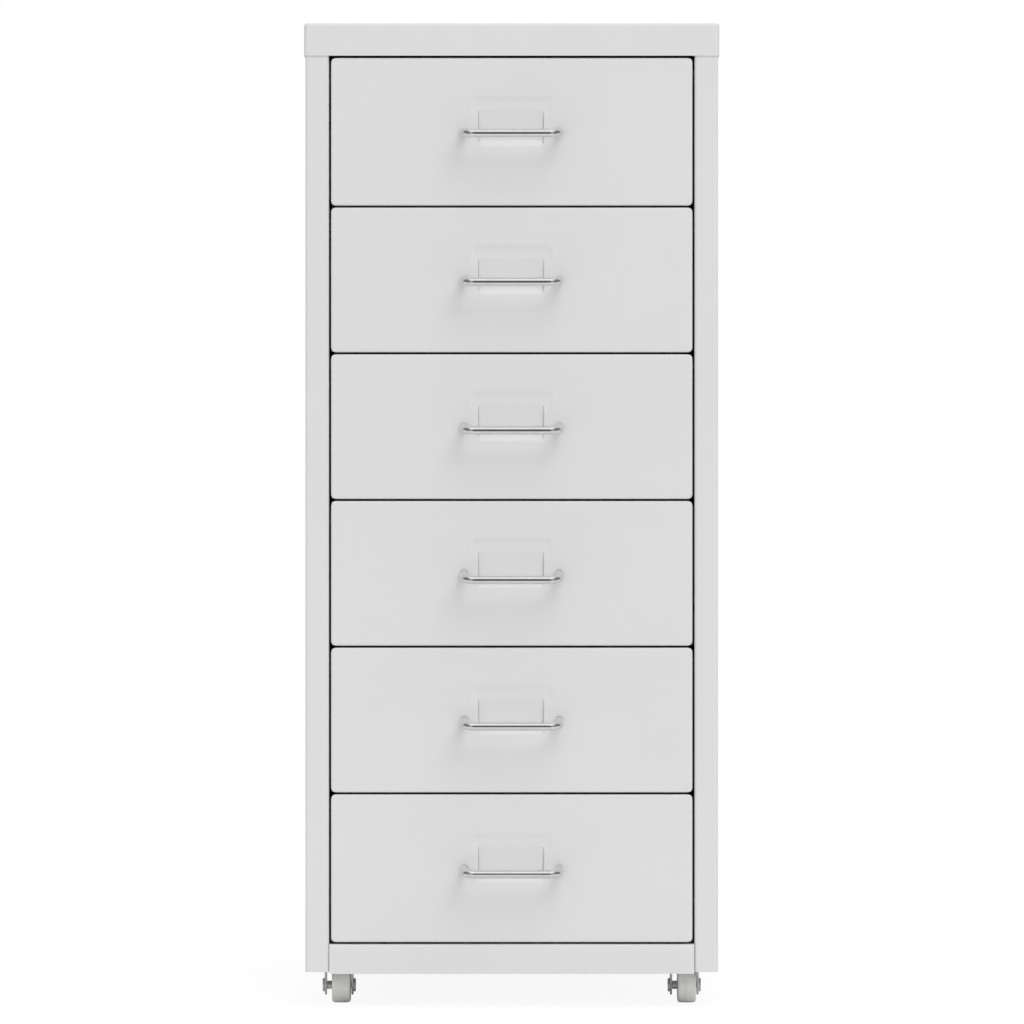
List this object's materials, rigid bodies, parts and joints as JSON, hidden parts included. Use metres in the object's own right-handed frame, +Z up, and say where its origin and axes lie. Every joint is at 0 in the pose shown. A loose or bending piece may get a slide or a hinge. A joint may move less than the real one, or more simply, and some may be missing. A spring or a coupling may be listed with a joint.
{
  "type": "drawer cabinet",
  "caption": "Narrow sheet-steel cabinet on swivel castors, with shallow sliding drawers under a folded cover, wire handles and pressed label pockets.",
  "frame": {"origin": "on the floor, under the middle of the outer box (cabinet and handles together)", "axes": "+Z up, drawers open towards -Y, +X to the right seen from the front"},
  "size_m": [0.28, 0.4368, 0.6636],
  "materials": {
    "cover_paint": "white powder coat, fine orange peel, satin",
    "body_paint": "white powder coat, fine orange peel, satin",
    "front_paint": "white powder coat, fine orange peel, satin",
    "tray_paint": "white powder coat, satin",
    "handle_chrome": "bright chrome plated wire",
    "screw_steel": "zinc plated",
    "runner_zinc": "galvanised sheet",
    "castor_zinc": "zinc plated, dulled",
    "axle_steel": "zinc plated pin",
    "ball_steel": "polished hardened steel",
    "wheel_plastic": "grey moulded nylon, matt",
    "rivet_aluminium": "mill finish"
  },
  "bodies": {
    "cabinet": {"top_cover": "cover_paint", "left_side_panel": "body_paint", "right_side_panel": "body_paint", "back_panel": "body_paint", "back_rivets": "rivet_aluminium", "base_pan": "body_paint", "left_runners": "runner_zinc", "right_runners": "runner_zinc", "castor_stems": "castor_zinc", "castor_nuts": "castor_zinc", "castor_race_caps": "castor_zinc", "castor_balls": "ball_steel"},
    "drawer_1": {"drawer_1_front": "front_paint", "drawer_1_tray": "tray_paint", "drawer_1_handle": "handle_chrome", "drawer_1_handle_screws": "screw_steel"},
    "drawer_2": {"drawer_2_front": "front_paint", "drawer_2_tray": "tray_paint", "drawer_2_handle": "handle_chrome", "drawer_2_handle_screws": "screw_steel"},
    "drawer_3": {"drawer_3_front": "front_paint", "drawer_3_tray": "tray_paint", "drawer_3_handle": "handle_chrome", "drawer_3_handle_screws": "screw_steel"},
    "drawer_4": {"drawer_4_front": "front_paint", "drawer_4_tray": "tray_paint", "drawer_4_handle": "handle_chrome", "drawer_4_handle_screws": "screw_steel"},
    "drawer_5": {"drawer_5_front": "front_paint", "drawer_5_tray": "tray_paint", "drawer_5_handle": "handle_chrome", "drawer_5_handle_screws": "screw_steel"},
    "drawer_6": {"drawer_6_front": "front_paint", "drawer_6_tray": "tray_paint", "drawer_6_handle": "handle_chrome", "drawer_6_handle_screws": "screw_steel"},
    "castor_front_left_swivel": {"castor_front_left_fork": "castor_zinc", "castor_front_left_axle": "axle_steel", "castor_front_left_spacer": "axle_steel"},
    "castor_front_left_wheel": {"castor_front_left_wheel": "wheel_plastic"},
    "castor_front_right_swivel": {"castor_front_right_fork": "castor_zinc", "castor_front_right_axle": "axle_steel", "castor_front_right_spacer": "axle_steel"},
    "castor_front_right_wheel": {"castor_front_right_wheel": "wheel_plastic"},
    "castor_rear_left_swivel": {"castor_rear_left_fork": "castor_zinc", "castor_rear_left_axle": "axle_steel", "castor_rear_left_spacer": "axle_steel"},
    "castor_rear_left_wheel": {"castor_rear_left_wheel": "wheel_plastic"},
    "castor_rear_right_swivel": {"castor_rear_right_fork": "castor_zinc", "castor_rear_right_axle": "axle_steel", "castor_rear_right_spacer": "axle_steel"},
    "castor_rear_right_wheel": {"castor_rear_right_wheel": "wheel_plastic"}
  },
  "joints": [
    {"name": "drawer_1_slide", "type": "slide", "parent": "cabinet", "child": "drawer_1", "axis": [0, -1, 0], "range_m": [0, 0.3]},
    {"name": "drawer_2_slide", "type": "slide", "parent": "cabinet", "child": "drawer_2", "axis": [0, -1, 0], "range_m": [0, 0.3]},
    {"name": "drawer_3_slide", "type": "slide", "parent": "cabinet", "child": "drawer_3", "axis": [0, -1, 0], "range_m": [0, 0.3]},
    {"name": "drawer_4_slide", "type": "slide", "parent": "cabinet", "child": "drawer_4", "axis": [0, -1, 0], "range_m": [0, 0.3]},
    {"name": "drawer_5_slide", "type": "slide", "parent": "cabinet", "child": "drawer_5", "axis": [0, -1, 0], "range_m": [0, 0.3]},
    {"name": "drawer_6_slide", "type": "slide", "parent": "cabinet", "child": "drawer_6", "axis": [0, -1, 0], "range_m": [0, 0.3]},
    {"name": "castor_front_left_swivel_turn", "type": "hinge", "parent": "cabinet", "child": "castor_front_left_swivel", "pos_m": [-0.1175, -0.15568, 0.0385], "axis": [0, 0, 1], "continuous": true},
    {"name": "castor_front_left_wheel_roll", "type": "hinge", "parent": "castor_front_left_swivel", "child": "castor_front_left_wheel", "pos_m": [-0.11595, -0.14768, 0.012], "axis": [1, 0, 0], "continuous": true},
    {"name": "castor_front_right_swivel_turn", "type": "hinge", "parent": "cabinet", "child": "castor_front_right_swivel", "pos_m": [0.1175, -0.15568, 0.0385], "axis": [0, 0, 1], "continuous": true},
    {"name": "castor_front_right_wheel_roll", "type": "hinge", "parent": "castor_front_right_swivel", "child": "castor_front_right_wheel", "pos_m": [0.11905, -0.14768, 0.012], "axis": [1, 0, 0], "continuous": true},
    {"name": "castor_rear_left_swivel_turn", "type": "hinge", "parent": "cabinet", "child": "castor_rear_left_swivel", "pos_m": [-0.1175, 0.18252, 0.0385], "axis": [0, 0, 1], "continuous": true},
    {"name": "castor_rear_left_wheel_roll", "type": "hinge", "parent": "castor_rear_left_swivel", "child": "castor_rear_left_wheel", "pos_m": [-0.11595, 0.19052, 0.012], "axis": [1, 0, 0], "continuous": true},
    {"name": "castor_rear_right_swivel_turn", "type": "hinge", "parent": "cabinet", "child": "castor_rear_right_swivel", "pos_m": [0.1175, 0.18252, 0.0385], "axis": [0, 0, 1], "continuous": true},
    {"name": "castor_rear_right_wheel_roll", "type": "hinge", "parent": "castor_rear_right_swivel", "child": "castor_rear_right_wheel", "pos_m": [0.11905, 0.19052, 0.012], "axis": [1, 0, 0], "continuous": true}
  ]
}
